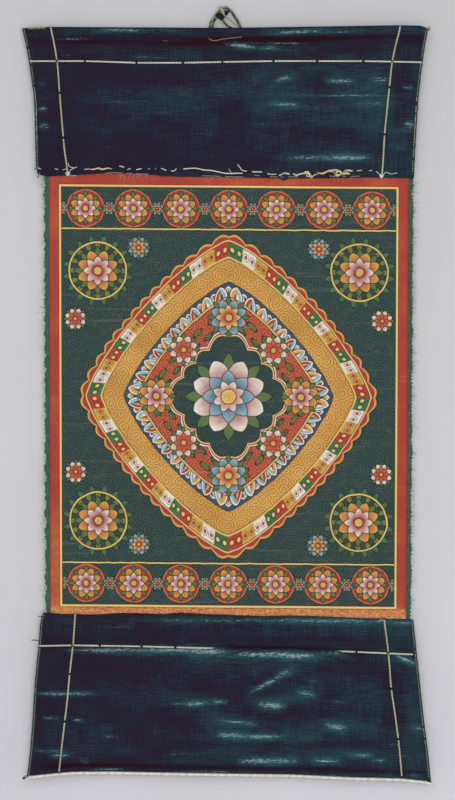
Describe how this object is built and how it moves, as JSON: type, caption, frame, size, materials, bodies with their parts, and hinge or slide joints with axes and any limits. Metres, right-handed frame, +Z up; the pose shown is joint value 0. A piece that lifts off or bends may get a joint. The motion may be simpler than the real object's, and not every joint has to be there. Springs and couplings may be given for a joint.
{
  "type": "thangka scroll painting",
  "caption": "Hanging scroll: painted canvas between flared indigo cloth panels, with couched cream cords, a rope hem and a cord loop to hang it by.",
  "frame": {"origin": "where a nail bears inside the top of the hanging loop", "axes": "+Z up the hanging, +X to the viewer's right, -Y out of the painted face towards the viewer"},
  "size_m": [0.4909, 0.0185, 0.9364],
  "materials": {
    "indigo": "indigo cotton, slubby plain weave",
    "canvas_paint": "matt mineral colours on sized cotton",
    "strip_green": "frayed green cotton strip",
    "cord_cream": "two-ply undyed cord",
    "rope_cream": "twisted undyed rope",
    "loop_dark": "dark green cord"
  },
  "bodies": {
    "root": {"upper_cloth": "indigo", "lower_cloth": "indigo", "painted_canvas": "canvas_paint", "side_strip_left": "strip_green", "side_strip_right": "strip_green", "bottom_rope": "rope_cream", "cord_upper_across": "cord_cream", "cord_upper_left": "cord_cream", "cord_upper_right": "cord_cream", "cord_lower_across": "cord_cream", "cord_lower_left": "cord_cream", "cord_lower_right": "cord_cream", "loop_dark_outer": "loop_dark", "loop_dark_inner": "loop_dark", "loop_cream_outer": "cord_cream", "loop_cream_inner": "cord_cream", "loop_knot": "cord_cream", "loop_front_stitch": "cord_cream"}
  },
  "joints": []
}
